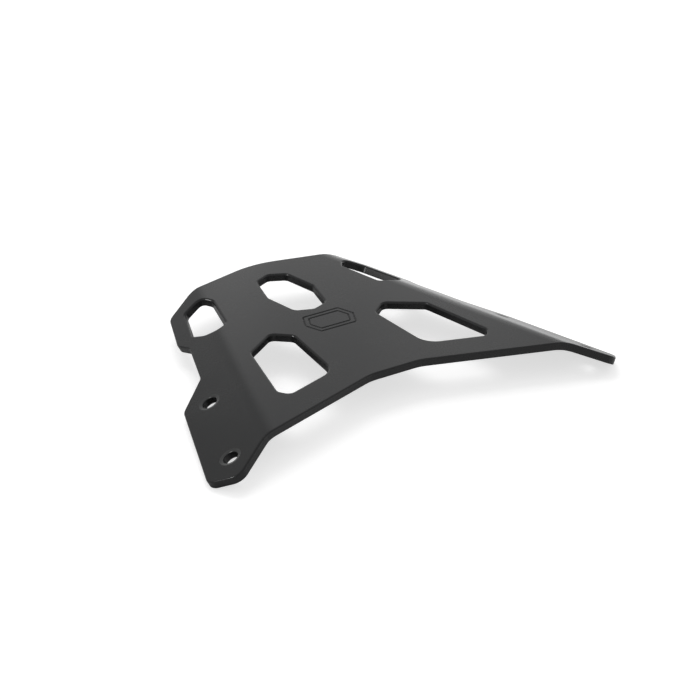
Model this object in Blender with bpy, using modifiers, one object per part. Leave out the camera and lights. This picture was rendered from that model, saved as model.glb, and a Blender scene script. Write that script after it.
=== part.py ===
"""Luggage rack plate for a motorbike tail.

One sheet of aluminium is cut to outline with five windows, its cut edges are rounded over, and its two
sides are folded down along lines that close in towards the rear. Each folded wing has two screw
holes with shallow countersinks. The plate lies with its panel level: +Y points to the narrow rear edge, +X to the
right wing, and the origin is the middle of the bounding box's floor.
"""
import math

import bmesh
import bpy
from mathutils import Matrix, Vector

# Sheet and folds, in metres and degrees
SHEET_THICKNESS = 0.005
EDGE_ROUNDING = 0.0005
FOLD_ANGLE = 28.4
FOLD_INNER_RADIUS = 0.018
FOLD_TAPER = 17.4          # each fold line leans in towards the rear by this angle

# Panel outline, measured from the middle of the front edge
FRONT_EDGE_HALF = 0.0175
FRONT_CORNER_HALF = 0.1043  # half the span between the fold lines at the front corners
FRONT_CORNER_REACH = 0.0272
PANEL_LENGTH = 0.1626
FOLD_LINE_LENGTH = 0.1871
FRONT_BEND_RADIUS = 0.028
FRONT_CORNER_RADIUS = 0.010
REAR_CORNER_RADIUS = 0.018
REAR_PEAK_RADIUS = 0.066

# Wing outline: depths out from the fold line. Places run along it from its front corner, and setbacks
# run along it the other way, from its rear corner
NOSE_DEPTH = 0.0237
NOSE_REACH = 0.0225
TOE_DEPTH = 0.0415
TOE_REACH = 0.0123
HEEL_DEPTH = 0.0374
HEEL_PLACE = 0.0660
RECESS_FRONT_DEPTH = 0.0199
RECESS_FRONT_PLACE = 0.0892
RECESS_REAR_DEPTH = 0.0182
RECESS_REAR_SETBACK = 0.0614
TAB_FRONT_DEPTH = 0.0242
TAB_FRONT_SETBACK = 0.0514
TAB_REAR_DEPTH = 0.0217
TAB_REAR_SETBACK = 0.0180
WING_CORNER_RADIUS = 0.008
RECESS_RADIUS = 0.0065

# Rear window on the centre line
REAR_WEB = 0.0191
REAR_WINDOW_LENGTH = 0.0539
REAR_WINDOW_HALF = 0.0162
REAR_WINDOW_WAIST = 0.0266   # from its front point back to the widest place
REAR_WINDOW_FRONT_HALF = 0.0111
REAR_WINDOW_FRONT_RISE = 0.0040
REAR_WINDOW_BACK_HALF = 0.0107
REAR_WINDOW_BACK_FALL = 0.0048
REAR_WINDOW_RADIUS = 0.0046

# Side windows, between the centre spine, the front edge and the folds
FRONT_WEB = 0.0206
SPINE_HALF_FRONT = 0.0335
SPINE_HALF_REAR = 0.0297
SIDE_WINDOW_INNER_PLACE = 0.0651
SIDE_WINDOW_PEAK_HALF = 0.0407
SIDE_WINDOW_PEAK_PLACE = 0.0740
FOLD_WEB_REAR = 0.0137
FOLD_WEB_REAR_PLACE = 0.0951
FOLD_WEB_FRONT = 0.0173
FOLD_WEB_FRONT_PLACE = 0.0458
SIDE_WINDOW_TOE_WEB = 0.0236
SIDE_WINDOW_RADIUS = 0.0044
SIDE_WINDOW_HEEL_RADIUS = 0.0130

# Corner windows, cut across the folds
CORNER_WINDOW_SETBACK = 0.0145
CORNER_WINDOW_LENGTH = 0.0457
CORNER_WINDOW_PANEL_FRONT = 0.0081
CORNER_WINDOW_PANEL_REAR = 0.0069
CORNER_WINDOW_WING_FRONT = 0.0134
CORNER_WINDOW_WING_REAR = 0.0117
CORNER_WINDOW_FRONT_SHIFT = 0.0023   # the front point lies this far out on the wing
CORNER_WINDOW_REAR_SHIFT = 0.0012    # the rear point lies this far in on the panel
CORNER_WINDOW_PANEL_FRONT_TAPER = 0.0101
CORNER_WINDOW_WING_FRONT_TAPER = 0.0098
CORNER_WINDOW_WING_REAR_TAPER = 0.0076
CORNER_WINDOW_PANEL_REAR_TAPER = 0.0049
CORNER_WINDOW_RADIUS = 0.0042
CORNER_WINDOW_FRONT_RADIUS = 0.0075

# Screw holes in each wing, each with a shallow countersink round it
BORE_DIAMETER = 0.0090
COUNTERSINK_DIAMETER = 0.0134
COUNTERSINK_ANGLE = 156.0
FRONT_HOLE_DEPTH = 0.0235
FRONT_HOLE_PLACE = -0.0009
REAR_HOLE_DEPTH = 0.0210
REAR_HOLE_PLACE = 0.0609

# Fineness of the curved stretches
ARC_STEP = 9.0
EDGE_STEPS = 1
FOLD_STEPS = 8
HOLE_STEPS = 32
SHARP_ANGLE = 34.0
MERGE_DISTANCE = 0.00001
FLAT_TOLERANCE = 0.0001
CUT_MARGIN = 0.001

COLLECTION_NAME = "motorcycle_luggage_rack"
PLATE_NAME = "rack_plate"


def clear_scene():
    """Take away whatever the scene holds."""
    for leftover in list(bpy.data.objects):
        bpy.data.objects.remove(leftover, do_unlink=True)


def new_collection(name):
    """A collection of this name under the scene."""
    collection = bpy.data.collections.new(name)
    bpy.context.scene.collection.children.link(collection)
    return collection


def powder_coat():
    """Satin black powder coat."""
    material = bpy.data.materials.new("black_powder_coat")
    material.use_nodes = True
    shader = material.node_tree.nodes["Principled BSDF"]
    shader.inputs["Base Color"].default_value = (0.035, 0.036, 0.038, 1.0)
    shader.inputs["Roughness"].default_value = 0.5
    shader.inputs["Metallic"].default_value = 0.0
    material.diffuse_color = (0.08, 0.08, 0.085, 1.0)
    return material


class FoldLine:
    """The right-hand fold: where it runs on the flat sheet, and how it bends the sheet.

    On the flat sheet a place is told by its depth, out from the fold line, and by how far along the
    line it lies from the front corner. The strip that bends is as long as the arc at mid thickness.
    """

    def __init__(self):
        taper = math.radians(FOLD_TAPER)
        self.start = Vector((FRONT_CORNER_HALF, -FRONT_CORNER_REACH))
        self.along = Vector((-math.sin(taper), math.cos(taper)))
        self.out = Vector((math.cos(taper), math.sin(taper)))
        self.angle = math.radians(FOLD_ANGLE)
        self.half_strip = (FOLD_INNER_RADIUS + SHEET_THICKNESS / 2) * self.angle / 2

    def flat(self, depth, place):
        """The point of the flat sheet at this depth and place."""
        return self.start + self.out * depth + self.along * place

    def folded(self, point):
        """Where a point of the right half of the flat sheet goes when the wing is folded down."""
        flat = Vector((point.x, point.y)) - self.start
        depth = flat.dot(self.out)
        place = flat.dot(self.along)
        past_start = depth + self.half_strip
        if past_start <= 0.0:
            return point.copy()
        turned = min(past_start / (2 * self.half_strip), 1.0) * self.angle
        straight = max(depth - self.half_strip, 0.0)
        radius = FOLD_INNER_RADIUS + SHEET_THICKNESS + point.z
        new_depth = radius * math.sin(turned) - self.half_strip + straight * math.cos(self.angle)
        height = radius * math.cos(turned) - FOLD_INNER_RADIUS - SHEET_THICKNESS
        height -= straight * math.sin(self.angle)
        spot = self.flat(new_depth, place)
        return Vector((spot.x, spot.y, height))

    def outward(self):
        """The direction square to the folded wing's outer face."""
        lean = self.out * math.sin(self.angle)
        return Vector((lean.x, lean.y, math.cos(self.angle)))


def rounded(corners):
    """Points of a closed outline: each corner (point, radius) is replaced by an arc of that radius.

    A radius that its two sides are too short for is reduced to what they can take.
    """
    points = []
    count = len(corners)
    for index, (corner, radius) in enumerate(corners):
        back = corners[index - 1][0] - corner
        ahead = corners[(index + 1) % count][0] - corner
        opening = back.angle(ahead)
        room = 0.48 * min(back.length, ahead.length)
        reach = min(radius / math.tan(opening / 2), room)
        radius = reach * math.tan(opening / 2)
        bisector = (back.normalized() + ahead.normalized()).normalized()
        centre = corner + bisector * (radius / math.sin(opening / 2))
        first = corner + back.normalized() * reach - centre
        turn = math.pi - opening
        if back.x * ahead.y - back.y * ahead.x > 0:
            turn = -turn
        steps = max(2, round(abs(math.degrees(turn)) / ARC_STEP))
        for step in range(steps + 1):
            angle = turn * step / steps
            points.append(centre + Matrix.Rotation(angle, 2) @ first)
    return points


def mirrored(corners):
    """The same corners on the left half, in the order that carries on round the outline."""
    return [(Vector((-corner.x, corner.y)), radius) for corner, radius in reversed(corners)]


def sheet_outline(fold):
    """Outer corners of the flat sheet, from the front edge round the right side to the rear peak."""
    right = [
        (Vector((FRONT_EDGE_HALF, 0.0)), FRONT_BEND_RADIUS),
        (fold.flat(0.0, 0.0), FRONT_CORNER_RADIUS),
        (fold.flat(NOSE_DEPTH, -NOSE_REACH), WING_CORNER_RADIUS),
        (fold.flat(TOE_DEPTH, -TOE_REACH), WING_CORNER_RADIUS),
        (fold.flat(HEEL_DEPTH, HEEL_PLACE), WING_CORNER_RADIUS),
        (fold.flat(RECESS_FRONT_DEPTH, RECESS_FRONT_PLACE), RECESS_RADIUS),
        (fold.flat(RECESS_REAR_DEPTH, FOLD_LINE_LENGTH - RECESS_REAR_SETBACK), RECESS_RADIUS),
        (fold.flat(TAB_FRONT_DEPTH, FOLD_LINE_LENGTH - TAB_FRONT_SETBACK), WING_CORNER_RADIUS),
        (fold.flat(TAB_REAR_DEPTH, FOLD_LINE_LENGTH - TAB_REAR_SETBACK), WING_CORNER_RADIUS),
        (fold.flat(0.0, FOLD_LINE_LENGTH), REAR_CORNER_RADIUS),
    ]
    rear_peak = [(Vector((0.0, PANEL_LENGTH)), REAR_PEAK_RADIUS)]
    return rounded(right + rear_peak + mirrored(right))


def rear_window():
    """The window on the centre line, a long hexagon with its points to the front and the rear."""
    back = PANEL_LENGTH - REAR_WEB
    front = back - REAR_WINDOW_LENGTH
    right = [
        (Vector((REAR_WINDOW_FRONT_HALF, front + REAR_WINDOW_FRONT_RISE)), REAR_WINDOW_RADIUS),
        (Vector((REAR_WINDOW_HALF, front + REAR_WINDOW_WAIST)), REAR_WINDOW_RADIUS),
        (Vector((REAR_WINDOW_BACK_HALF, back - REAR_WINDOW_BACK_FALL)), REAR_WINDOW_RADIUS),
    ]
    tip = [(Vector((0.0, front)), REAR_WINDOW_RADIUS)]
    tail = [(Vector((0.0, back)), REAR_WINDOW_RADIUS)]
    return rounded(tip + right + tail + mirrored(right))


def side_window(fold):
    """Corners of the right side window: its front side keeps one web to the front edge."""
    edge_start = Vector((FRONT_EDGE_HALF, 0.0))
    edge = (fold.flat(0.0, 0.0) - edge_start).normalized()
    inward = Vector((-edge.y, edge.x))

    base = edge_start + inward * FRONT_WEB
    heel = base + edge * ((SPINE_HALF_FRONT - base.x) / edge.x)
    base_depth = (base - fold.start).dot(fold.out)
    toe = base - edge * ((SIDE_WINDOW_TOE_WEB + base_depth) / edge.dot(fold.out))
    return [
        (heel, SIDE_WINDOW_HEEL_RADIUS),
        (toe, SIDE_WINDOW_RADIUS),
        (fold.flat(-FOLD_WEB_FRONT, FOLD_WEB_FRONT_PLACE), SIDE_WINDOW_RADIUS),
        (fold.flat(-FOLD_WEB_REAR, FOLD_WEB_REAR_PLACE), SIDE_WINDOW_RADIUS),
        (Vector((SIDE_WINDOW_PEAK_HALF, SIDE_WINDOW_PEAK_PLACE)), SIDE_WINDOW_RADIUS),
        (Vector((SPINE_HALF_REAR, SIDE_WINDOW_INNER_PLACE)), SIDE_WINDOW_RADIUS),
    ]


def corner_window(fold):
    """Corners of the right rear window, a hexagon that the fold runs through."""
    back = FOLD_LINE_LENGTH - CORNER_WINDOW_SETBACK
    front = back - CORNER_WINDOW_LENGTH
    places = [
        (CORNER_WINDOW_WING_FRONT, front + CORNER_WINDOW_WING_FRONT_TAPER),
        (CORNER_WINDOW_WING_REAR, back - CORNER_WINDOW_WING_REAR_TAPER),
        (-CORNER_WINDOW_REAR_SHIFT, back),
        (-CORNER_WINDOW_PANEL_REAR, back - CORNER_WINDOW_PANEL_REAR_TAPER),
        (-CORNER_WINDOW_PANEL_FRONT, front + CORNER_WINDOW_PANEL_FRONT_TAPER),
    ]
    corners = [(fold.flat(depth, place), CORNER_WINDOW_RADIUS) for depth, place in places]
    return [(fold.flat(CORNER_WINDOW_FRONT_SHIFT, front), CORNER_WINDOW_FRONT_RADIUS)] + corners


def add_outline(curve, points):
    """Add one closed outline to a filled curve."""
    spline = curve.splines.new("POLY")
    spline.points.add(len(points) - 1)
    for spline_point, point in zip(spline.points, points):
        spline_point.co = (point.x, point.y, 0.0, 1.0)
    spline.use_cyclic_u = True


def cut_sheet(fold):
    """The flat sheet with its windows and rounded cut edges, as a mesh with its top face at z = 0."""
    curve = bpy.data.curves.new(PLATE_NAME, "CURVE")
    curve.dimensions = "2D"
    curve.fill_mode = "BOTH"
    curve.extrude = SHEET_THICKNESS / 2 - EDGE_ROUNDING
    curve.bevel_depth = EDGE_ROUNDING
    curve.bevel_resolution = EDGE_STEPS
    curve.offset = -EDGE_ROUNDING
    add_outline(curve, sheet_outline(fold))
    add_outline(curve, rear_window())
    for window in (side_window(fold), corner_window(fold)):
        add_outline(curve, rounded(window))
        add_outline(curve, rounded(mirrored(window)))
    drawing = bpy.data.objects.new("sheet_drawing", curve)
    bpy.context.scene.collection.objects.link(drawing)
    graph = bpy.context.evaluated_depsgraph_get()
    mesh = bpy.data.meshes.new_from_object(drawing.evaluated_get(graph))
    mesh.transform(Matrix.Translation((0.0, 0.0, -SHEET_THICKNESS / 2)))
    bpy.data.objects.remove(drawing, do_unlink=True)
    return mesh


def fold_wings(mesh, fold):
    """Score the sheet across both bending strips, then roll every point round the folds.

    Only the cut edges and the bending strips are shaded smooth.
    """
    shape = bmesh.new()
    shape.from_mesh(mesh)
    bmesh.ops.remove_doubles(shape, verts=shape.verts, dist=MERGE_DISTANCE)
    for side in (1.0, -1.0):
        across = Vector((side * fold.out.x, fold.out.y, 0.0))
        for step in range(FOLD_STEPS + 1):
            depth = fold.half_strip * (2 * step / FOLD_STEPS - 1)
            spot = fold.flat(depth, 0.0)
            bmesh.ops.bisect_plane(
                shape,
                geom=shape.verts[:] + shape.edges[:] + shape.faces[:],
                dist=MERGE_DISTANCE,
                plane_co=(side * spot.x, spot.y, 0.0),
                plane_no=across,
            )
    for face in shape.faces:
        middle = face.calc_center_median()
        depth = (Vector((abs(middle.x), middle.y)) - fold.start).dot(fold.out)
        face.smooth = abs(face.normal.z) < 1.0 - FLAT_TOLERANCE or abs(depth) < fold.half_strip
    for vert in shape.verts:
        side = math.copysign(1.0, vert.co.x)
        moved = fold.folded(Vector((abs(vert.co.x), vert.co.y, vert.co.z)))
        vert.co = (side * moved.x, moved.y, moved.z)
    bmesh.ops.recalc_face_normals(shape, faces=shape.faces)
    shape.to_mesh(mesh)
    shape.free()


def floor_middle(mesh):
    """The middle of the bounding box's floor."""
    corners = [vert.co for vert in mesh.vertices]
    low = Vector([min(corner[axis] for corner in corners) for axis in range(3)])
    high = Vector([max(corner[axis] for corner in corners) for axis in range(3)])
    return Vector(((low.x + high.x) / 2, (low.y + high.y) / 2, low.z))


def countersink_cutter(name, collection):
    """A turned cutter for one screw hole, with its axis on Z and the wing's outer face at z = 0."""
    bore = BORE_DIAMETER / 2
    slope = math.tan(math.radians(COUNTERSINK_ANGLE / 2))
    sink = (COUNTERSINK_DIAMETER / 2 - bore) / slope
    mouth = COUNTERSINK_DIAMETER / 2 + CUT_MARGIN * slope
    foot = -SHEET_THICKNESS - CUT_MARGIN
    profile = [(0.0, CUT_MARGIN), (mouth, CUT_MARGIN), (bore, -sink), (bore, foot), (0.0, foot)]
    mesh = bpy.data.meshes.new(name)
    edges = [(index, index + 1) for index in range(len(profile) - 1)]
    mesh.from_pydata([(x, 0.0, z) for x, z in profile], edges, [])
    cutter = bpy.data.objects.new(name, mesh)
    turn = cutter.modifiers.new("turn", "SCREW")
    turn.axis = "Z"
    turn.steps = HOLE_STEPS
    turn.render_steps = HOLE_STEPS
    turn.use_merge_vertices = True
    turn.merge_threshold = MERGE_DISTANCE
    cutter.display_type = "WIRE"
    cutter.hide_render = True
    collection.objects.link(cutter)
    return cutter


def drill_wings(plate, fold, home, collection):
    """Countersink both holes of each wing, square to the wing's outer face."""
    holes = {
        "front": (FRONT_HOLE_DEPTH, FRONT_HOLE_PLACE),
        "rear": (REAR_HOLE_DEPTH, REAR_HOLE_PLACE),
    }
    for label, (depth, place) in holes.items():
        flat = fold.flat(depth, place)
        spot = fold.folded(Vector((flat.x, flat.y, 0.0)))
        for hand, side in (("right", 1.0), ("left", -1.0)):
            cutter = countersink_cutter(f"cut_{label}_{hand}", collection)
            out = fold.outward()
            out.x *= side
            cutter.location = Vector((side * spot.x, spot.y, spot.z)) - home
            cutter.rotation_euler = out.to_track_quat("Z", "Y").to_euler()
            hole = plate.modifiers.new(f"{label}_{hand}_hole", "BOOLEAN")
            hole.operation = "DIFFERENCE"
            hole.solver = "EXACT"
            hole.object = cutter


def build_plate():
    """Cut, fold and drill the plate."""
    parts = new_collection(COLLECTION_NAME)
    cutters = new_collection("cutters")
    fold = FoldLine()
    mesh = cut_sheet(fold)
    fold_wings(mesh, fold)
    home = floor_middle(mesh)
    mesh.transform(Matrix.Translation(-home))
    mesh.set_sharp_from_angle(angle=math.radians(SHARP_ANGLE))
    mesh.materials.clear()
    mesh.materials.append(powder_coat())
    plate = bpy.data.objects.new(PLATE_NAME, mesh)
    parts.objects.link(plate)
    drill_wings(plate, fold, home, cutters)
    return plate


def main():
    clear_scene()
    build_plate()
    bpy.context.view_layer.update()


if __name__ == "__main__":
    main()
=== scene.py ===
"""Dressed scene of a motorbike luggage rack plate.

The plate is drawn flat, as loops with their sections carried along them, and is then rolled round both
fold lines by one formula. Lengths are metres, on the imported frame's axes: +Y to the narrow rear edge,
+X to the right wing, +Z up.
"""
import math

import bpy
import numpy as np
from bpy.props import FloatProperty, FloatVectorProperty, PointerProperty
from mathutils import Matrix, Vector
from mathutils.geometry import delaunay_2d_cdt


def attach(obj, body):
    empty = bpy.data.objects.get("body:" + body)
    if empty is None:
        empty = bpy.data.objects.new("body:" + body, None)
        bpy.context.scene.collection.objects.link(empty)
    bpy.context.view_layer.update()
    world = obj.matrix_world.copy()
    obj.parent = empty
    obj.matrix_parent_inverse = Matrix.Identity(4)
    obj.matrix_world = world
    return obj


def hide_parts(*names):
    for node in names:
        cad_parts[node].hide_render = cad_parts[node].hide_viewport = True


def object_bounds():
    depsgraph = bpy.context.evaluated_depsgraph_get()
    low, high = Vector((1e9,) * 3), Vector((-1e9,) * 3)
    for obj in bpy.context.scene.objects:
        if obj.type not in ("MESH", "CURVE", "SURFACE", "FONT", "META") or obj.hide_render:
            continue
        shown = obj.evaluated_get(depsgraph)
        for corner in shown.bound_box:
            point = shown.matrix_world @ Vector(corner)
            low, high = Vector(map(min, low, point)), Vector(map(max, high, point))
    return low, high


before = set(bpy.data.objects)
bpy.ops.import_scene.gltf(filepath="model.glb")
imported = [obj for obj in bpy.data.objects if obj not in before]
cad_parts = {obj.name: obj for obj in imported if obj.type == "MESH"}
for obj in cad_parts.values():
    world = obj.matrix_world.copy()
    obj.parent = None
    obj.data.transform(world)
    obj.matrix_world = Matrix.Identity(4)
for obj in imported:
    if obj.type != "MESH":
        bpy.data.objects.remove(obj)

bl_info = {
    "name": "Luggage rack plate",
    "version": (1, 0, 0),
    "blender": (4, 5, 0),
    "location": "View3D > Sidebar > Rack",
    "description": "Builds a folded, powder-coated luggage rack plate and its studio stage",
    "category": "Object",
}

CAD_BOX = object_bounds()
PLATE_NODE = "rack_plate"
# Point attribute for the painted sheen: how much lighter the coat is painted on the countersinks, standing
# in for their brighter reflection
RIM_SHEEN_ATTRIBUTE = "painted_rim_sheen"

# The fold line's start and lean, and the outline corners on the flat sheet. A panel corner is told by
# its distances from the centre line and the front edge.
FOLD_TAPER = math.radians(17.4)
FRONT_EDGE_HALF = 0.0175
FRONT_CORNER_HALF = 0.1043
FRONT_CORNER_REACH = 0.0272
PANEL_LENGTH = 0.1626
FOLD_LINE_LENGTH = 0.1871
FRONT_BEND_RADIUS = 0.028
FRONT_CORNER_RADIUS = 0.010
REAR_CORNER_RADIUS = 0.018
REAR_PEAK_RADIUS = 0.066
WING_CORNER_RADIUS = 0.008
RECESS_RADIUS = 0.0065
# A wing corner is told by its depth out from the fold line, its place along it and its radius.
WING_CORNERS = (
    (0.0237, -0.0225, WING_CORNER_RADIUS),
    (0.0415, -0.0123, WING_CORNER_RADIUS),
    (0.0374, 0.0660, WING_CORNER_RADIUS),
    (0.0199, 0.0892, RECESS_RADIUS),
    (0.0182, 0.1257, RECESS_RADIUS),
    (0.0242, 0.1357, WING_CORNER_RADIUS),
    (0.0217, 0.1691, WING_CORNER_RADIUS),
)

# Windows. The rear one is told by x and y, and the corner one by depth, place and radius. The side one keeps
# a web to the front edge: its fold side is told by depth and place, and its inner side by x and y.
REAR_WINDOW_FRONT = 0.0896
REAR_WINDOW_BACK = 0.1435
REAR_WINDOW_CORNERS = ((0.0111, 0.0936), (0.0162, 0.1162), (0.0107, 0.1387))
REAR_WINDOW_RADIUS = 0.0046
FRONT_WEB = 0.0206
SIDE_WINDOW_HEEL = 0.0335
SIDE_WINDOW_TOE_WEB = 0.0236
SIDE_WINDOW_FOLD_SIDE = ((-0.0173, 0.0458), (-0.0137, 0.0951))
SIDE_WINDOW_INNER_SIDE = ((0.0407, 0.0740), (0.0297, 0.0651))
SIDE_WINDOW_RADIUS = 0.0044
SIDE_WINDOW_HEEL_RADIUS = 0.0130
CORNER_WINDOW_CORNERS = (
    (0.0023, 0.1269, 0.0075),
    (0.0134, 0.1367, 0.0042),
    (0.0117, 0.1650, 0.0042),
    (-0.0012, 0.1726, 0.0042),
    (-0.0069, 0.1677, 0.0042),
    (-0.0081, 0.1370, 0.0042),
)

# Screw holes in the wing, by depth and place
SCREW_HOLES = ((0.0235, -0.0009), (0.0210, 0.0609))

# Engraved mark in the middle of the panel: two nested long hexagons, each by half its length, half its
# width and half the length of its front side
MARK_CENTRE = (0.0, 0.0717)
MARK_SIZES = ((0.0170, 0.0105, 0.0125), (0.0135, 0.0073, 0.0104))
MARK_RADIUS = 0.0012
# The groove's lips and floor are rounded by this share of its width.
GROOVE_ROUNDING = 1 / 8

# The ways that a section's sides face, told from straight up towards the open side
UP = 0.0
LEVEL = math.pi / 2
DOWN = math.pi
# Leans of a hole's section that its painted sheen starts, is full between and ends at
RIM_SHEEN_LEANS = tuple(math.radians(lean) for lean in (0.0, 8.0, 30.0, 60.0))

# Fineness
ARC_STEP = math.radians(5.0)
FOLD_STEPS = 12
ROUND_STEPS = 5
HOLE_POINTS = 64
# The largest share of a side that the arc at one of its ends may take
ARC_SHARE = 0.48
# A side runs along the fold when its ends' depths differ by less than this.
ALONG_FOLD = 1e-9
# A strip line adds no point to a side that it crosses nearer to an end than this share of the side.
NEAR_END = 1e-3
# Places along the fold line that the strip lines run between
STRIP_ENDS = (-0.05, 0.25)
# The flat faces are filled in millimetres, to this tolerance.
MILLIMETRES = 1000.0
FILL_TOLERANCE = 0.001

# The coat's noises, by detail and roughness
RIPPLE = (2.0, 0.45)
GRAIN = (1.0, 0.5)
CLOUD = (4.0, 0.55)
SPECK = (2.0, 0.6)
# Waves of the fine grain to one ripple, and waves of the clouds and the specks to a metre
GRAIN_TO_RIPPLE = 4.0
CLOUD_WAVES = 22.0
SPECK_WAVES = 900.0
# Shares of the clouds in the dust and of the ripples in the relief. Specks and grain make up the rest.
CLOUD_IN_DUST = 0.6
RIPPLE_IN_RELIEF = 0.75
# Levels of the noise that dust starts and is full at
DUST_EDGE = (0.45, 0.75)
# How far the clouds and the grain move the roughness, about the noises' middle
NOISE_MIDDLE = 0.5
CLOUD_IN_GLOSS = 0.10
GRAIN_IN_GLOSS = 0.06
COAT_IOR = 1.5

# The photograph's view: the point that it aims at, its bearing, roll and distance, and its lens
VIEW_AIM = (-0.01127, -0.02823, 0.02416)
VIEW_AZIMUTH = math.radians(33.592)
VIEW_ELEVATION = math.radians(27.894)
VIEW_ROLL = math.radians(0.955)
VIEW_DISTANCE = 1.4530
VIEW_LENS = 125.93
SENSOR_WIDTH = 36.0
CLIP_START = 0.05
CLIP_END = 50.0

# Places of the lamps: azimuth and elevation in degrees, distance, and the lamp's width
KEY_PLACE = (8.0, 65.0, 1.3, 0.80)
SPOT_PLACE = (273.0, 34.0, 1.2, 0.22)
# Pale cards behind the plate, seen only in its reflections: place, and share of the cards' light
CARDS = (
    ("middle_card", (5.0, 15.0, 0.45, 0.30), 0.23),
    ("rear_card", (35.0, 20.0, 0.55, 0.40), 0.40),
    ("low_card", (35.0, 8.0, 0.40, 0.25), 0.22),
    ("right_card", (60.0, 20.0, 0.55, 0.40), 0.21),
)
FLOOR_REACH = 6.0
FLOOR_ROUGHNESS = 0.9
# Bearing that the floor's sheen rises along, and the distances that it starts and is full at
SHEEN_AZIMUTH = math.radians(60.0)
SHEEN_EDGE = (0.05, 0.20)
WHITE = (1.0, 1.0, 1.0, 1.0)


class RackSheet(bpy.types.PropertyGroup):
    """Sizes of the sheet, its folds and its screw holes."""

    thickness: FloatProperty(
        name="Thickness", description="Thickness of the sheet", default=0.005, unit="LENGTH")
    edge_rounding: FloatProperty(
        name="Edge rounding", description="Radius that the upper cut edges are rounded to",
        default=0.0010, unit="LENGTH")
    window_rounding: FloatProperty(
        name="Window rounding", description="Radius that the windows' upper edges are rounded to",
        default=0.0014, unit="LENGTH")
    under_rounding: FloatProperty(
        name="Under rounding", description="Radius that the lower cut edges are rounded to",
        default=0.0005, unit="LENGTH")
    fold_angle: FloatProperty(
        name="Fold angle", description="Angle that each wing is folded down by",
        default=math.radians(28.4), subtype="ANGLE")
    fold_radius: FloatProperty(
        name="Fold radius", description="Inner radius of the folds", default=0.018, unit="LENGTH")
    bore: FloatProperty(
        name="Bore", description="Diameter of the screw holes", default=0.0090, unit="LENGTH")
    countersink: FloatProperty(
        name="Countersink", description="Diameter of the countersinks at the wing's face",
        default=0.0134, unit="LENGTH")
    countersink_slope: FloatProperty(
        name="Countersink slope", description="Angle that the countersinks slope down at",
        default=math.radians(12.0), subtype="ANGLE")
    hole_rounding: FloatProperty(
        name="Hole rounding", description="Radius that the edges of a hole are rounded to",
        default=0.0008, unit="LENGTH")
    groove_width: FloatProperty(
        name="Groove width", description="Width of the engraved lines", default=0.0014, unit="LENGTH")
    groove_depth: FloatProperty(
        name="Groove depth", description="Depth of the engraved lines", default=0.0007, unit="LENGTH")


class RackCoat(bpy.types.PropertyGroup):
    """Colours and texture of the powder coat."""

    colour: FloatVectorProperty(
        name="Colour", description="Colour of the coat", subtype="COLOR", size=3,
        default=(0.0125, 0.013, 0.0135), min=0.0, max=1.0)
    dust: FloatVectorProperty(
        name="Dust", description="Colour of the faint dust on the coat", subtype="COLOR", size=3,
        default=(0.020, 0.0205, 0.021), min=0.0, max=1.0)
    # Painted sheen: a lighter colour on the countersinks that stands in for their brighter reflection
    rim: FloatVectorProperty(
        name="Rim", description="Colour of the coat on the countersinks, where it is thinner",
        subtype="COLOR", size=3, default=(0.046, 0.047, 0.047), min=0.0, max=1.0)
    roughness: FloatProperty(
        name="Roughness", description="Roughness of the coat", default=0.26, min=0.0, max=1.0,
        subtype="FACTOR")
    grain: FloatProperty(
        name="Grain", description="Distance between the coat's ripples", default=0.0011, unit="LENGTH")
    relief: FloatProperty(
        name="Relief", description="Height of the coat's ripples", default=0.000012, unit="LENGTH",
        precision=6)


class RackStage(bpy.types.PropertyGroup):
    """Colours and light levels of the studio."""

    floor: FloatVectorProperty(
        name="Floor", description="Colour of the floor", subtype="COLOR", size=3,
        default=(0.60, 0.60, 0.60), min=0.0, max=1.0)
    backdrop: FloatProperty(
        name="Backdrop", description="White that the camera sees added to the floor",
        default=0.665, min=0.0, max=1.0, subtype="FACTOR")
    sheen: FloatProperty(
        name="Sheen", description="White that the coat's reflections see added to the floor",
        default=1.0, min=0.0, max=1.0, subtype="FACTOR")
    key: FloatProperty(
        name="Key", description="Power of the lamp above the rear", default=5.6, unit="POWER")
    spot: FloatProperty(
        name="Spot", description="Power of the small lamp at the left", default=4.5, unit="POWER")
    cards: FloatProperty(
        name="Cards", description="Power of the pale cards behind the plate", default=0.26, unit="POWER")
    walls: FloatProperty(
        name="Walls", description="Brightness of the walls that the coat reflects", default=0.39,
        min=0.0, max=1.0, subtype="FACTOR")
    room: FloatProperty(
        name="Room", description="Strength of the even light from all round", default=0.50,
        min=0.0, max=1.0, subtype="FACTOR")


class Wire:
    """One output socket, with arithmetic that adds the Math nodes it stands for."""

    def __init__(self, graph, socket):
        self.graph = graph
        self.socket = socket

    def math(self, operation, *others):
        sockets = dict(enumerate((self, *others)))
        return self.graph.node("ShaderNodeMath", {"operation": operation}, sockets)

    def __add__(self, other):
        return self.math("ADD", other)

    def __radd__(self, other):
        return self.math("ADD", other)

    def __sub__(self, other):
        return self.math("SUBTRACT", other)

    def __rsub__(self, other):
        return self.graph.node("ShaderNodeMath", {"operation": "SUBTRACT"}, {0: other, 1: self})

    def __mul__(self, other):
        return self.math("MULTIPLY", other)

    def __rmul__(self, other):
        return self.math("MULTIPLY", other)


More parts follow.
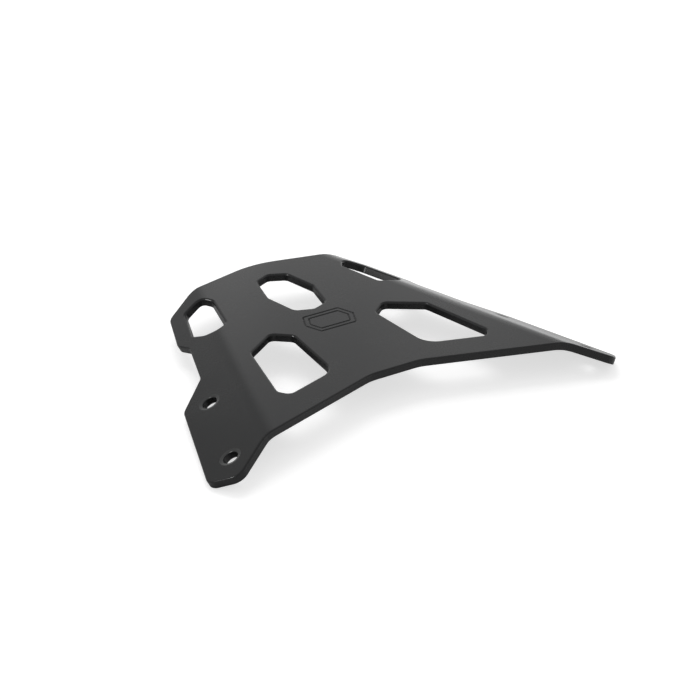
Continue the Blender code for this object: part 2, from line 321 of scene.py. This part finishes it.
class Graph:
    """The nodes of a new material or world."""

    def __init__(self, owner):
        owner.use_nodes = True
        self.tree = owner.node_tree

    def feed(self, socket, value):
        """Link a wire to an input socket, or set a plain value on it."""
        if isinstance(value, Wire):
            self.tree.links.new(value.socket, socket)
        else:
            socket.default_value = value

    def node(self, kind, settings=None, inputs=None, output=0):
        """Add a node, set its properties first, feed its sockets and give one of its outputs."""
        made = self.tree.nodes.new(kind)
        for key, value in (settings or {}).items():
            setattr(made, key, value)
        for key, value in (inputs or {}).items():
            self.feed(made.inputs[key], value)
        return Wire(self, made.outputs[output])

    def light_path(self):
        """Whether a ray comes from the camera, and whether it comes from a glossy surface."""
        seen = self.node("ShaderNodeLightPath", output="Is Camera Ray")
        return seen, Wire(self, seen.socket.node.outputs["Is Glossy Ray"])


def rounded_loop(corners, clockwise=False):
    """Points of a closed loop with every corner (x, y, radius) turned into an arc, and their normals.

    An arc's centre lies on the corner's bisector at radius / sin(half the corner's angle), and its points
    are centre + radius * (cos a, sin a) from one tangent point to the other. The normal points to the
    right of the way round: away from the metal on an outline, into the gap on a clockwise window.
    """
    spots = np.array([corner[:2] for corner in corners], float)
    radii = np.array([corner[2] for corner in corners], float)
    following = np.roll(spots, -1, axis=0)
    area = np.sum(spots[:, 0] * following[:, 1] - spots[:, 1] * following[:, 0])
    if (area < 0.0) != clockwise:
        spots = spots[::-1]
        radii = radii[::-1]
    back = np.roll(spots, 1, axis=0) - spots
    ahead = np.roll(spots, -1, axis=0) - spots
    back_length = np.linalg.norm(back, axis=1)
    ahead_length = np.linalg.norm(ahead, axis=1)
    back /= back_length[:, None]
    ahead /= ahead_length[:, None]
    half = np.arccos(np.clip(np.sum(back * ahead, axis=1), -1.0, 1.0)) / 2
    reach = np.minimum(radii / np.tan(half), ARC_SHARE * np.minimum(back_length, ahead_length))
    radii = reach * np.tan(half)
    bisector = back + ahead
    bisector /= np.linalg.norm(bisector, axis=1)[:, None]
    centres = spots + bisector * (radii / np.sin(half))[:, None]
    starts = spots + back * reach[:, None] - centres
    turns = (np.pi - 2 * half) * np.sign(ahead[:, 0] * back[:, 1] - ahead[:, 1] * back[:, 0])
    points = []
    normals = []
    for centre, start, radius, turn in zip(centres, starts, radii, turns):
        steps = max(2, math.ceil(abs(turn) / ARC_STEP))
        angles = math.atan2(start[1], start[0]) + turn * np.linspace(0.0, 1.0, steps + 1)
        rays = np.stack([np.cos(angles), np.sin(angles)], axis=1)
        points.append(centre + radius * rays)
        normals.append(rays * np.sign(turn))
    return np.concatenate(points), np.concatenate(normals)


def mirrored(corners):
    """The corners on the left half, in the order that carries on round the loop."""
    return [(-x, y, radius) for x, y, radius in reversed(corners)]


def section(corners, facings, roundings):
    """A section's points (offset, height) and normals, with each of its corners rounded.

    Side k faces the angle facings[k], told from straight up towards the open side. The round at a corner
    between sides with normals m and n has its centre at corner - rounding * (m + n) / (1 + m . n).
    """
    points = []
    normals = []
    for corner, first, last, rounding in zip(corners, facings, facings[1:], roundings):
        ends = np.array([[math.sin(first), math.cos(first)], [math.sin(last), math.cos(last)]])
        centre = np.array(corner) - rounding * ends.sum(axis=0) / (1.0 + ends[0] @ ends[1])
        angles = np.linspace(first, last, ROUND_STEPS + 1)
        rays = np.stack([np.sin(angles), np.cos(angles)], axis=1)
        points.append(centre + rounding * rays)
        normals.append(rays)
    return np.concatenate(points), np.concatenate(normals)


def cut_section(sheet, rounding):
    """The section of a cut edge, rounded above by this radius and below by the sheet's own.

    A last point straight under the first gives both faces of the sheet the same rim.
    """
    corners = [(0.0, 0.0), (0.0, -sheet.thickness)]
    points, normals = section(corners, [UP, LEVEL, DOWN], [rounding, sheet.under_rounding])
    return np.vstack([points, (points[0, 0], points[-1, 1])]), np.vstack([normals, normals[-1]])


def screw_hole_section(sheet):
    """The section of a screw hole: down the countersink's slope from its rim, then down the bore."""
    rim = (sheet.countersink - sheet.bore) / 2
    sink = rim * math.tan(sheet.countersink_slope)
    corners = [(0.0, 0.0), (rim, -sink), (rim, -sheet.thickness)]
    roundings = [sheet.hole_rounding, sheet.hole_rounding, sheet.under_rounding]
    return section(corners, [UP, sheet.countersink_slope, LEVEL, DOWN], roundings)


def groove_section(sheet):
    """The engraved line's section: down one slope, round its floor, and up the other slope.

    Its lips and its floor are arcs: a lip's centre lies under the face, and the floor's centre above it.
    """
    half = sheet.groove_width / 2
    slope = math.atan2(sheet.groove_depth, half)
    lip = sheet.groove_width * GROOVE_ROUNDING
    lean = np.linspace(0.0, slope, ROUND_STEPS)
    reach = lip * math.tan(slope / 2)
    down = np.stack([-half - reach + lip * np.sin(lean), lip * (np.cos(lean) - 1.0)], axis=1)
    floor_lean = np.linspace(slope, -slope, 2 * ROUND_STEPS - 1)
    floor_height = -sheet.groove_depth + lip / math.cos(slope)
    floor = np.stack([-lip * np.sin(floor_lean), floor_height - lip * np.cos(floor_lean)], axis=1)
    up = down[::-1] * (-1.0, 1.0)
    facing = np.concatenate([lean, floor_lean, -lean[::-1]])
    return np.concatenate([down, floor, up]), np.stack([np.sin(facing), np.cos(facing)], axis=1)


def sheen_free(profile):
    """The painted sheen along a section that has none: zero everywhere."""
    return np.zeros(len(profile[0]))


def hole_rim_sheen(profile):
    """The painted sheen along a hole's section, from its normal's lean off straight up: a lighter colour
    that stands in for the countersink's brighter reflection.

    It rises with the lean to 1 on the countersink's slope, and falls to 0 again before the wall.
    """
    lean = np.arctan2(profile[1][:, 0], profile[1][:, 1])
    return np.interp(lean, RIM_SHEEN_LEANS, (0.0, 1.0, 1.0, 0.0))


class FoldLine:
    """The right-hand fold line. The left one is its mirror image."""

    def __init__(self, sheet):
        self.start = np.array([FRONT_CORNER_HALF, -FRONT_CORNER_REACH])
        self.along = np.array([-math.sin(FOLD_TAPER), math.cos(FOLD_TAPER)])
        self.out = np.array([math.cos(FOLD_TAPER), math.sin(FOLD_TAPER)])
        self.angle = sheet.fold_angle
        self.outer_radius = sheet.fold_radius + sheet.thickness
        self.half_strip = (sheet.fold_radius + sheet.thickness / 2) * self.angle / 2

    def flat(self, depth, place):
        """The point of the flat sheet at this depth and place."""
        return self.start + self.out * depth + self.along * place

    def depth(self, points):
        """How far out from the nearer fold line each point (x, y) of the flat sheet lies."""
        right = np.stack([np.abs(points[:, 0]), points[:, 1]], axis=1)
        return (right - self.start) @ self.out

    def strips(self):
        """Depths of the lines that the bending strip is divided at."""
        return np.linspace(-self.half_strip, self.half_strip, FOLD_STEPS + 1)

    def folded(self, points, normals):
        """Roll flat points and their normals round the folds.

        Across the strip a point turns by t = angle * (depth + half) / (2 * half), on a circle of the
        outer radius plus its height: depth' = radius * sin t - half, z' = radius * cos t - outer radius.
        Past the strip the wing runs on straight, and normals turn by the same t about the line.
        """
        hand = np.where(points[:, 0] < 0.0, -1.0, 1.0)
        flip = np.stack([hand, np.ones_like(hand)], axis=1)
        offset = points[:, :2] * flip - self.start
        depth = offset @ self.out
        place = offset @ self.along
        share = np.clip((depth + self.half_strip) / (2 * self.half_strip), 0.0, 1.0)
        turned = self.angle * share
        straight = np.maximum(depth - self.half_strip, 0.0)
        radius = self.outer_radius + points[:, 2]
        new_depth = radius * np.sin(turned) - self.half_strip + straight * math.cos(self.angle)
        height = radius * np.cos(turned) - self.outer_radius - straight * math.sin(self.angle)
        bent = share > 0.0
        new_depth = np.where(bent, new_depth, depth)
        height = np.where(bent, height, points[:, 2])
        plan = (self.start + new_depth[:, None] * self.out + place[:, None] * self.along) * flip
        sideways = normals[:, :2] * flip
        outward = sideways @ self.out
        lengthways = sideways @ self.along
        lean = outward * np.cos(turned) + normals[:, 2] * np.sin(turned)
        rise = normals[:, 2] * np.cos(turned) - outward * np.sin(turned)
        facing = (lean[:, None] * self.out + lengthways[:, None] * self.along) * flip
        return np.column_stack([plan, height]), np.column_stack([facing, rise])


def scored(points, normals, fold):
    """The loop with a point added wherever it crosses a strip line, by straight interpolation."""
    depths = fold.depth(points)
    ahead = np.roll(depths, -1)
    crossing = np.abs(ahead - depths) > ALONG_FOLD
    run = np.where(crossing, ahead - depths, 1.0)
    share = (fold.strips()[None, :] - depths[:, None]) / run[:, None]
    crossed = (share > NEAR_END) & (share < 1.0 - NEAR_END) & crossing[:, None]
    row, column = np.nonzero(crossed)
    stops = np.sort(np.concatenate([np.arange(len(points)), row + share[row, column]]))
    first = np.floor(stops).astype(int)
    part = (stops - first)[:, None]
    points = points[first] * (1.0 - part) + np.roll(points, -1, axis=0)[first] * part
    normals = normals[first] * (1.0 - part) + np.roll(normals, -1, axis=0)[first] * part
    return points, normals / np.linalg.norm(normals, axis=1)[:, None]


def outline_corners(fold):
    """The sheet's outer corners, from the front edge round the right side, the rear peak and the left."""
    rear = tuple(fold.flat(0.0, FOLD_LINE_LENGTH))
    right = [(FRONT_EDGE_HALF, 0.0, FRONT_BEND_RADIUS), (*fold.flat(0.0, 0.0), FRONT_CORNER_RADIUS)]
    right += [(*fold.flat(depth, place), radius) for depth, place, radius in WING_CORNERS]
    right.append((*rear, REAR_CORNER_RADIUS))
    return right + [(0.0, PANEL_LENGTH, REAR_PEAK_RADIUS)] + mirrored(right)


def rear_window_corners():
    """The centre window's corners, a long hexagon with its points to the front and the rear."""
    right = [(x, y, REAR_WINDOW_RADIUS) for x, y in REAR_WINDOW_CORNERS]
    tip = [(0.0, REAR_WINDOW_FRONT, REAR_WINDOW_RADIUS)]
    tail = [(0.0, REAR_WINDOW_BACK, REAR_WINDOW_RADIUS)]
    return tip + right + tail + mirrored(right)


def side_window_corners(fold):
    """The right side window's corners: its front side keeps one web to the front edge."""
    edge_start = np.array([FRONT_EDGE_HALF, 0.0])
    edge = fold.start - edge_start
    edge /= np.linalg.norm(edge)
    base = edge_start + FRONT_WEB * np.array([-edge[1], edge[0]])
    heel = base + edge * (SIDE_WINDOW_HEEL - base[0]) / edge[0]
    toe = base - edge * (SIDE_WINDOW_TOE_WEB + (base - fold.start) @ fold.out) / (edge @ fold.out)
    fold_side = [fold.flat(depth, place) for depth, place in SIDE_WINDOW_FOLD_SIDE]
    corners = [(*toe, SIDE_WINDOW_RADIUS)]
    corners += [(*spot, SIDE_WINDOW_RADIUS) for spot in fold_side]
    corners += [(*spot, SIDE_WINDOW_RADIUS) for spot in SIDE_WINDOW_INNER_SIDE]
    return [(*heel, SIDE_WINDOW_HEEL_RADIUS)] + corners


def corner_window_corners(fold):
    """The right rear window's corners, a hexagon that the fold runs through."""
    return [(*fold.flat(depth, place), radius) for depth, place, radius in CORNER_WINDOW_CORNERS]


def circle(centre, radius):
    """A hole's rim as a clockwise loop, with normals that point to its axis."""
    angles = -2.0 * math.pi * np.arange(HOLE_POINTS) / HOLE_POINTS
    rays = np.stack([np.cos(angles), np.sin(angles)], axis=1)
    return np.array(centre) + radius * rays, -rays


def hexagon(half_length, half_width, half_flat):
    """Corners of a long hexagon round the mark's centre, with its points to the sides."""
    x, y = MARK_CENTRE
    right = [(x + half_flat, y - half_width, MARK_RADIUS), (x + half_length, y, MARK_RADIUS)]
    right.append((x + half_flat, y + half_width, MARK_RADIUS))
    return right + mirrored(right)


def carried(loop, profile):
    """A section carried along a loop, as rings of points and normals.

    Ring j lies at loop + offset_j * loop normal and height_j. Its normals combine the loop's normal and
    straight up in the section's own proportions.
    """
    points, normals = loop
    offsets, heights = profile[0].T
    across, upward = profile[1].T
    plan = points[None] + normals[None] * offsets[:, None, None]
    facing = normals[None] * across[:, None, None]
    tall = np.broadcast_to(heights[:, None, None], plan.shape[:2] + (1,))
    rise = np.broadcast_to(upward[:, None, None], plan.shape[:2] + (1,))
    return np.concatenate([plan, tall], axis=2), np.concatenate([facing, rise], axis=2)


def ring_faces(rings, count, base):
    """Quads between neighbouring rings of one loop, wound so that they face out of the metal."""
    ring, spot = np.meshgrid(np.arange(rings - 1), np.arange(count), indexing="ij")
    after = (spot + 1) % count
    corners = [ring * count + spot, (ring + 1) * count + spot]
    corners += [(ring + 1) * count + after, ring * count + after]
    return base + np.stack(corners, axis=2).reshape(-1, 4)


def inside(spots, loops):
    """Which spots lie on the metal: those that a ray to +X leaves across an odd number of loop edges."""
    starts = np.concatenate(loops)
    ends = np.concatenate([np.roll(loop, -1, axis=0) for loop in loops])
    x, y = spots[:, :1], spots[:, 1:]
    straddles = (starts[None, :, 1] > y) != (ends[None, :, 1] > y)
    rise = np.where(ends[:, 1] == starts[:, 1], 1.0, ends[:, 1] - starts[:, 1])
    cut = starts[None, :, 0] + (y - starts[None, :, 1]) * ((ends[:, 0] - starts[:, 0]) / rise)[None]
    return np.sum(straddles & (cut > x), axis=1) % 2 == 1


def face_fill(rims, fold):
    """Triangles of the flat face between the rims, divided along the strip lines.

    A rim is a loop and its first point's number. The fill is the constrained Delaunay triangulation of the
    rims and the strip lines, without the triangles whose middle is off the metal.
    """
    loops = [loop * MILLIMETRES for loop, number in rims]
    numbers = np.concatenate([number + np.arange(len(loop)) for loop, number in rims])
    starts = np.cumsum([0] + [len(loop) for loop in loops])
    edges = []
    for start, end in zip(starts, starts[1:]):
        ring = np.arange(start, end)
        edges.append(np.stack([ring, np.roll(ring, -1)], axis=1))
    ends = []
    for depth in fold.strips():
        for hand in (1.0, -1.0):
            ends += [fold.flat(depth, place) * (hand, 1.0) * MILLIMETRES for place in STRIP_ENDS]
    count = len(numbers)
    edges.append(count + np.arange(len(ends)).reshape(-1, 2))
    vectors = [Vector(spot) for spot in np.concatenate([*loops, ends])]
    filled = delaunay_2d_cdt(vectors, np.concatenate(edges).tolist(), [], 0, FILL_TOLERANCE)
    sources = np.array([min(source) if source else -1 for source in filled[3]])
    triangles = np.array(filled[2])
    plan = np.array([spot[:] for spot in filled[0]])
    kept = sources[triangles[inside(plan[triangles].mean(axis=1), loops)]]
    if kept.min() < 0 or kept.max() >= count:
        raise RuntimeError("the flat face needs a point that its loops don't have")
    return numbers[kept]


class Shell:
    """The flat plate's closed surface, gathered loop by loop."""

    def __init__(self):
        self.points = []
        self.normals = []
        self.painted_sheen = []
        self.faces = []
        self.count = 0
        self.rims = {"top": [], "bottom": []}

    def add(self, loop, profile, painted_sheen, sides):
        """Carry a section along a loop. Its first and last rings are rims of the faces on these sides."""
        rings, facings = carried(loop, profile)
        count = rings.shape[1]
        self.points.append(rings.reshape(-1, 3))
        self.normals.append(facings.reshape(-1, 3))
        self.painted_sheen.append(np.repeat(painted_sheen, count))
        self.faces.append(ring_faces(len(rings), count, self.count))
        for ring, side in zip((0, len(rings) - 1), sides):
            self.rims[side].append((rings[ring, :, :2], self.count + ring * count))
        self.count += len(rings) * count

    def close(self, fold):
        """Fill the flat faces between the rims."""
        self.faces.append(face_fill(self.rims["top"], fold))
        self.faces.append(face_fill(self.rims["bottom"], fold)[:, ::-1])


def through_cuts(sheet, fold):
    """Every loop that is cut through the sheet, with its section and its painted sheen."""
    edge = cut_section(sheet, sheet.edge_rounding)
    window_edge = cut_section(sheet, sheet.window_rounding)
    hole = screw_hole_section(sheet)
    cuts = [(rounded_loop(outline_corners(fold)), edge, sheen_free(edge))]
    windows = [rear_window_corners()]
    for corners in (side_window_corners(fold), corner_window_corners(fold)):
        windows += [corners, mirrored(corners)]
    for corners in windows:
        cuts.append((rounded_loop(corners, clockwise=True), window_edge, sheen_free(window_edge)))
    for depth, place in SCREW_HOLES:
        for hand in (1.0, -1.0):
            centre = fold.flat(depth, place) * (hand, 1.0)
            cuts.append((circle(centre, sheet.countersink / 2), hole, hole_rim_sheen(hole)))
    return cuts


def plate_mesh(sheet):
    """The whole folded plate as one closed mesh with worked-out normals.

    Each cut's loop is moved to the section's first ring before it is scored, so that the flat faces share
    its points on the strip lines. The plate stands in the CAD box: its middle from front to rear on the
    box's, and its top at the box's top.
    """
    fold = FoldLine(sheet)
    shell = Shell()
    for (loop, facing), profile, painted_sheen in through_cuts(sheet, fold):
        inset = profile[0][0, 0]
        ring = scored(loop + facing * inset, facing, fold)
        shell.add(ring, (profile[0] - (inset, 0.0), profile[1]), painted_sheen, ("top", "bottom"))
    groove = groove_section(sheet)
    for sizes in MARK_SIZES:
        loop = rounded_loop(hexagon(*sizes), clockwise=True)
        shell.add(loop, groove, sheen_free(groove), ("top", "top"))
    shell.close(fold)

    points, normals = fold.folded(np.concatenate(shell.points), np.concatenate(shell.normals))
    low, high = (np.array(corner) for corner in CAD_BOX)
    points[:, 1] += (low[1] + high[1]) / 2 - (points[:, 1].min() + points[:, 1].max()) / 2
    points[:, 2] += high[2] - points[:, 2].max()
    mesh = bpy.data.meshes.new("folded_plate")
    mesh.from_pydata(points.tolist(), [], [face for group in shell.faces for face in group.tolist()])
    # Painted sheen on the countersinks, stored per point for the coat's colour
    sheen_mask = mesh.attributes.new(RIM_SHEEN_ATTRIBUTE, "FLOAT", "POINT")
    sheen_mask.data.foreach_set("value", np.concatenate(shell.painted_sheen).astype(np.float32))
    mesh.shade_smooth()
    mesh.normals_split_custom_set_from_vertices(normals.tolist())
    mesh.validate()
    return mesh


def noise(graph, place, waves, texture):
    """A noise of this many waves per metre, with its detail and roughness."""
    detail, roughness = texture
    return graph.node("ShaderNodeTexNoise", {}, {
        "Vector": place, "Scale": waves, "Detail": detail, "Roughness": roughness})


def mixed(graph, factor, first, second):
    """The first colour where the factor is 0, and the second where it is 1."""
    return graph.node("ShaderNodeMix", {"data_type": "RGBA"}, {
        "Factor": factor, "A": first, "B": second}, output="Result")


def coat_material(coat):
    """Satin black powder coat: fine ripples, finer grain, faint clouds in its gloss and a little dust.

    Its colour is painted lighter on the countersinks, a painted sheen that stands in for their brighter
    reflection.
    """
    material = bpy.data.materials.new("satin_black_powder_coat")
    graph = Graph(material)
    place = graph.node("ShaderNodeTexCoord", output="Object")
    ripple = noise(graph, place, 1.0 / coat.grain, RIPPLE)
    grain = noise(graph, place, GRAIN_TO_RIPPLE / coat.grain, GRAIN)
    cloud = noise(graph, place, CLOUD_WAVES, CLOUD)
    speck = noise(graph, place, SPECK_WAVES, SPECK)
    dust = graph.node("ShaderNodeMapRange", {"interpolation_type": "SMOOTHSTEP"}, {
        "Value": cloud * CLOUD_IN_DUST + speck * (1.0 - CLOUD_IN_DUST),
        "From Min": DUST_EDGE[0], "From Max": DUST_EDGE[1]})
    sheen_mask = graph.node("ShaderNodeAttribute", {"attribute_name": RIM_SHEEN_ATTRIBUTE}, output="Fac")
    dusty = mixed(graph, dust, (*coat.colour, 1.0), (*coat.dust, 1.0))
    bump = graph.node("ShaderNodeBump", {}, {
        "Strength": 1.0, "Distance": coat.relief,
        "Height": ripple * RIPPLE_IN_RELIEF + grain * (1.0 - RIPPLE_IN_RELIEF)})
    inputs = graph.tree.nodes["Principled BSDF"].inputs
    # Painted sheen: the countersinks are mixed towards the lighter rim colour
    graph.feed(inputs["Base Color"], mixed(graph, sheen_mask, dusty, (*coat.rim, 1.0)))
    uneven = (cloud - NOISE_MIDDLE) * CLOUD_IN_GLOSS + (grain - NOISE_MIDDLE) * GRAIN_IN_GLOSS
    graph.feed(inputs["Roughness"], coat.roughness + uneven)
    graph.feed(inputs["Normal"], bump)
    inputs["Metallic"].default_value = 0.0
    inputs["IOR"].default_value = COAT_IOR
    return material


def floor_material(stage):
    """Pale floor: the camera sees a part of its white whatever the light, so shadows on it stay pale.

    Reflections see it brighter behind the right side, as a smooth step along that bearing.
    """
    material = bpy.data.materials.new("pale_floor")
    graph = Graph(material)
    shader = graph.tree.nodes["Principled BSDF"]
    shader.inputs["Base Color"].default_value = (*stage.floor, 1.0)
    shader.inputs["Roughness"].default_value = FLOOR_ROUGHNESS
    shader.inputs["Specular IOR Level"].default_value = 0.0
    seen, reflected = graph.light_path()
    place = graph.node("ShaderNodeTexCoord", output="Object")
    distance = graph.node("ShaderNodeVectorMath", {"operation": "DOT_PRODUCT"}, {
        0: place, 1: (math.sin(SHEEN_AZIMUTH), math.cos(SHEEN_AZIMUTH), 0.0)}, output="Value")
    fade = graph.node("ShaderNodeMapRange", {"interpolation_type": "SMOOTHSTEP"}, {
        "Value": distance, "From Min": SHEEN_EDGE[0], "From Max": SHEEN_EDGE[1]})
    glow = graph.node("ShaderNodeEmission", {}, {
        "Color": WHITE, "Strength": seen * stage.backdrop + reflected * fade * stage.sheen})
    both = graph.node("ShaderNodeAddShader", {}, {0: Wire(graph, shader.outputs[0]), 1: glow})
    graph.feed(graph.tree.nodes["Material Output"].inputs["Surface"], both)
    return material


def room_world(stage):
    """Even light from all round, which the camera sees as white and reflections see as pale walls."""
    world = bpy.data.worlds.new("studio")
    graph = Graph(world)
    seen, reflected = graph.light_path()
    background = graph.tree.nodes["Background"]
    background.inputs["Color"].default_value = WHITE
    strength = seen + reflected * stage.walls + (1.0 - seen - reflected) * stage.room
    graph.feed(background.inputs["Strength"], strength)
    bpy.context.scene.world = world


def studio_floor(stage):
    """A wide level floor under the plate."""
    mesh = bpy.data.meshes.new("studio_floor")
    signs = ((-1, -1), (1, -1), (1, 1), (-1, 1))
    corners = [(x * FLOOR_REACH, y * FLOOR_REACH, 0.0) for x, y in signs]
    mesh.from_pydata(corners, [], [(0, 1, 2, 3)])
    mesh.materials.append(floor_material(stage))
    floor = bpy.data.objects.new("studio_floor", mesh)
    bpy.context.scene.collection.objects.link(floor)
    return floor


def bearing(azimuth, elevation):
    """The unit vector (sin a cos e, cos a cos e, sin e), with azimuth a told from +Y towards +X."""
    level = math.cos(elevation)
    return Vector((math.sin(azimuth) * level, math.cos(azimuth) * level, math.sin(elevation)))


def soft_lamp(name, place, power, lights=True):
    """A square area lamp at this place round the plate, turned to face it.

    It either lights the matt part of what it faces or is only reflected, as a shine, and never both.
    """
    azimuth, elevation, distance, width = place
    lamp = bpy.data.lights.new(name, "AREA")
    lamp.shape = "SQUARE"
    lamp.size = width
    lamp.energy = power
    holder = bpy.data.objects.new(name, lamp)
    holder.visible_camera = False
    holder.visible_diffuse = lights
    holder.visible_glossy = not lights
    bpy.context.scene.collection.objects.link(holder)
    ray = bearing(math.radians(azimuth), math.radians(elevation))
    holder.location = ray * distance
    holder.rotation_euler = ray.to_track_quat("Z", "Y").to_euler()


def place_camera(scene):
    """Put the camera at the photograph's bearing, with its small roll."""
    forward = bearing(VIEW_AZIMUTH, -VIEW_ELEVATION)
    right = forward.cross(Vector((0.0, 0.0, 1.0))).normalized()
    up = right.cross(forward)
    axes = Matrix((right, up, -forward)).transposed() @ Matrix.Rotation(VIEW_ROLL, 3, "Z")
    camera = bpy.data.cameras.new("photo_view")
    camera.lens = VIEW_LENS
    camera.sensor_width = SENSOR_WIDTH
    camera.clip_start = CLIP_START
    camera.clip_end = CLIP_END
    holder = bpy.data.objects.new("photo_view", camera)
    scene.collection.objects.link(holder)
    place = Vector(VIEW_AIM) - forward * VIEW_DISTANCE
    holder.matrix_world = Matrix.Translation(place) @ axes.to_4x4()
    scene.camera = holder


class RACK_OT_plate(bpy.types.Operator):
    """Build the folded plate with its windows, screw holes, engraved mark and coat"""

    bl_idname = "rack.plate"
    bl_label = "Folded plate"

    def execute(self, context):
        mesh = plate_mesh(context.scene.rack_sheet)
        mesh.materials.append(coat_material(context.scene.rack_coat))
        plate = bpy.data.objects.new("folded_plate", mesh)
        context.scene.collection.objects.link(plate)
        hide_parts(PLATE_NODE)
        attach(plate, "root")
        return {"FINISHED"}


class RACK_OT_stage(bpy.types.Operator):
    """Set up the pale floor, the soft lamps and the photograph's view"""

    bl_idname = "rack.stage"
    bl_label = "Studio stage"

    def execute(self, context):
        stage = context.scene.rack_stage
        studio_floor(stage)
        room_world(stage)
        soft_lamp("rear_key", KEY_PLACE, stage.key)
        soft_lamp("left_spot", SPOT_PLACE, stage.spot, lights=False)
        for name, place, share in CARDS:
            soft_lamp(name, place, stage.cards * share, lights=False)
        place_camera(context.scene)
        context.scene.view_settings.view_transform = "Standard"
        return {"FINISHED"}


class RACK_PT_panel(bpy.types.Panel):
    """Sidebar panel with the sizes, the colours and the pieces"""

    bl_label = "Luggage rack plate"
    bl_idname = "RACK_PT_panel"
    bl_space_type = "VIEW_3D"
    bl_region_type = "UI"
    bl_category = "Rack"

    def draw(self, context):
        layout = self.layout
        for group in (context.scene.rack_sheet, context.scene.rack_coat, context.scene.rack_stage):
            box = layout.box()
            for name in group.__annotations__:
                box.prop(group, name)
        layout.operator(RACK_OT_plate.bl_idname)
        layout.operator(RACK_OT_stage.bl_idname)


GROUPS = {"rack_sheet": RackSheet, "rack_coat": RackCoat, "rack_stage": RackStage}
CLASSES = (*GROUPS.values(), RACK_OT_plate, RACK_OT_stage, RACK_PT_panel)


def register():
    for kind in CLASSES:
        bpy.utils.register_class(kind)
    for name, group in GROUPS.items():
        setattr(bpy.types.Scene, name, PointerProperty(type=group))


def unregister():
    for name in GROUPS:
        delattr(bpy.types.Scene, name)
    for kind in reversed(CLASSES):
        bpy.utils.unregister_class(kind)


def main():
    register()
    bpy.ops.rack.plate()
    bpy.ops.rack.stage()


if __name__ == "__main__":
    main()
